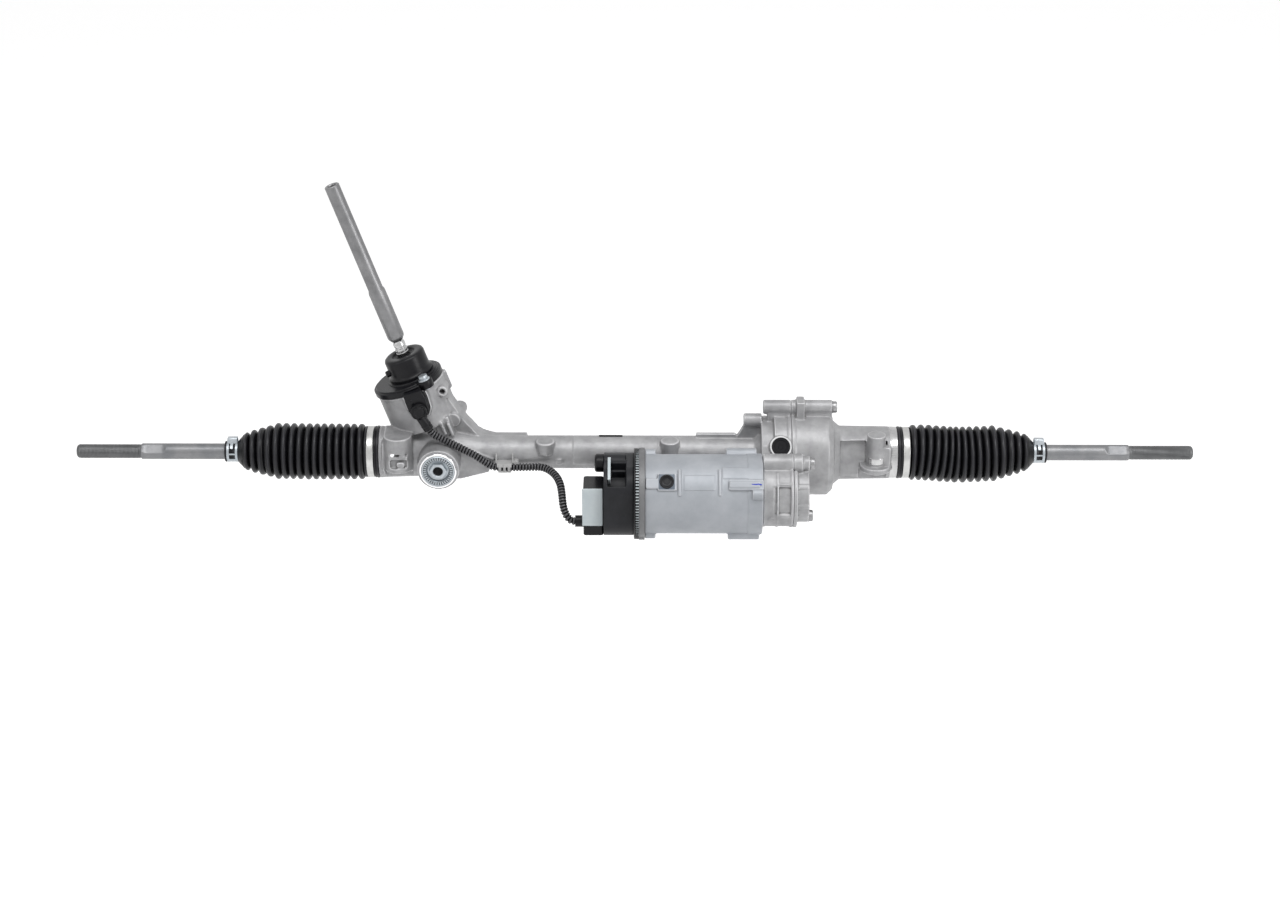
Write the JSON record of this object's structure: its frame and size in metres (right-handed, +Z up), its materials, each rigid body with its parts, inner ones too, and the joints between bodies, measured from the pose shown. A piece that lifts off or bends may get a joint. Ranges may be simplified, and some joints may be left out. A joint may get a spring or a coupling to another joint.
{
  "type": "steering rack",
  "caption": "Rack-and-pinion steering gear with a belt-driven ball screw, motor and control unit, bellows, tie rods and a leaning input shaft.",
  "frame": {"origin": "centre of the left mounting boss's tapped hole, at its seat face underneath", "axes": "+X along the rack from the pinion end towards the ball-screw end, +Z up into the tapped holes, -Y towards the motor side"},
  "size_m": [1.2489, 0.1781, 0.3782],
  "materials": {
    "cast_aluminium": "die-cast, grey, slightly rough",
    "motor_aluminium": "die-cast, lighter, fine grain",
    "machined_steel": "machined steel",
    "rod_steel": "dull grey phosphate-coated steel",
    "zinc": "zinc-plated steel",
    "boot_rubber": "matt black moulded elastomer",
    "black_plastic": "black glass-filled plastic",
    "white_plastic": "pale blue-white plastic",
    "bearing_steel": "ground bearing steel",
    "copper_winding": "wound copper and laminations",
    "board_green": "circuit board",
    "nylon": "natural nylon"
  },
  "bodies": {
    "housing": {"rack_housing": "cast_aluminium", "screw_housing": "cast_aluminium", "motor_housing": "motor_aluminium", "motor_end_plate": "motor_aluminium", "seal_ring": "black_plastic", "ecu_housing": "black_plastic", "lock_lever": "white_plastic", "power_connector": "black_plastic", "signal_connector": "black_plastic", "connector_cap": "white_plastic", "circuit_board": "board_green", "stator": "copper_winding", "motor_front_bearing": "bearing_steel", "motor_rear_bearing": "bearing_steel", "motor_plug": "black_plastic", "sensor_housing": "black_plastic", "dust_cap": "black_plastic", "sensor_plug": "black_plastic", "sensor_screws": "zinc", "sensor_coil": "black_plastic", "harness_conduit": "black_plastic", "harness_plug": "black_plastic", "harness_clip": "zinc", "yoke": "cast_aluminium", "yoke_spring": "machined_steel", "yoke_plug": "zinc", "yoke_ring": "zinc", "pinion_lower_bearing": "bearing_steel", "pinion_upper_bearing": "bearing_steel", "bearing_ring": "bearing_steel", "rack_bush": "nylon", "cover_screws": "zinc", "vent_plug": "black_plastic", "vent_ring": "white_plastic", "boot_left": "boot_rubber", "boot_right": "boot_rubber", "boot_band_left": "machined_steel", "boot_band_right": "machined_steel", "screw_bearing": "bearing_steel", "belt": "black_plastic"},
    "motor_rotor": {"motor_shaft": "bearing_steel", "rotor": "machined_steel", "drive_pulley": "bearing_steel"},
    "screw_nut": {"ball_nut": "bearing_steel", "nut_pulley": "bearing_steel"},
    "rack": {"rack_bar": "bearing_steel", "ball_housing_left": "machined_steel", "ball_housing_right": "machined_steel"},
    "pinion": {"pinion_shaft": "bearing_steel", "torsion_bar": "bearing_steel"},
    "input": {"input_shaft": "rod_steel"},
    "seat_left": {"ball_seat_left": "nylon"},
    "seat_right": {"ball_seat_right": "nylon"},
    "rod_left": {"tie_rod_left": "rod_steel", "rod_clamp_left": "zinc"},
    "rod_right": {"tie_rod_right": "rod_steel", "rod_clamp_right": "zinc"}
  },
  "joints": [
    {"name": "motor_spin", "type": "hinge", "parent": "housing", "child": "motor_rotor", "pos_m": [0.3455, -0.0426, -0.0103], "axis": [1, 0, 0], "range_deg": [-8793.79, 8793.79]},
    {"name": "nut_spin", "type": "hinge", "parent": "housing", "child": "screw_nut", "pos_m": [0.4455, 0.027, 0.008], "axis": [1, 0, 0], "range_deg": [-3703, 3703]},
    {"name": "rack_slide", "type": "slide", "parent": "housing", "child": "rack", "axis": [1, 0, 0], "range_m": [-0.072, 0.072], "deforming": ["boot_left", "boot_right"]},
    {"name": "pinion_spin", "type": "hinge", "parent": "housing", "child": "pinion", "pos_m": [0.0455, 0.04409, 0.008], "axis": [-0.3355, 0, 0.9421], "range_deg": [-516, 516]},
    {"name": "torsion_twist", "type": "hinge", "parent": "pinion", "child": "input", "pos_m": [0.02537, 0.04409, 0.06452], "axis": [-0.3355, 0, 0.9421], "range_deg": [-4.5, 4.5], "stiffness_Nm_per_rad": 115},
    {"name": "ball_left_fore_aft", "type": "hinge", "parent": "rack", "child": "seat_left", "pos_m": [-0.113, 0.027, 0.008], "axis": [0, 0, 1], "range_deg": [-12, 12]},
    {"name": "ball_left_swing", "type": "hinge", "parent": "seat_left", "child": "rod_left", "pos_m": [-0.113, 0.027, 0.008], "axis": [0, 1, 0], "range_deg": [-20, 20]},
    {"name": "ball_right_fore_aft", "type": "hinge", "parent": "rack", "child": "seat_right", "pos_m": [0.6419, 0.027, 0.008], "axis": [0, 0, 1], "range_deg": [-12, 12]},
    {"name": "ball_right_swing", "type": "hinge", "parent": "seat_right", "child": "rod_right", "pos_m": [0.6419, 0.027, 0.008], "axis": [0, 1, 0], "range_deg": [-20, 20]}
  ],
  "couplings": [
    {"joint": "nut_spin", "follows": "motor_spin", "ratio": 0.42105},
    {"joint": "rack_slide", "follows": "motor_spin", "m_per_rad": -0.00046909},
    {"joint": "pinion_spin", "follows": "motor_spin", "ratio": -0.058636}
  ]
}
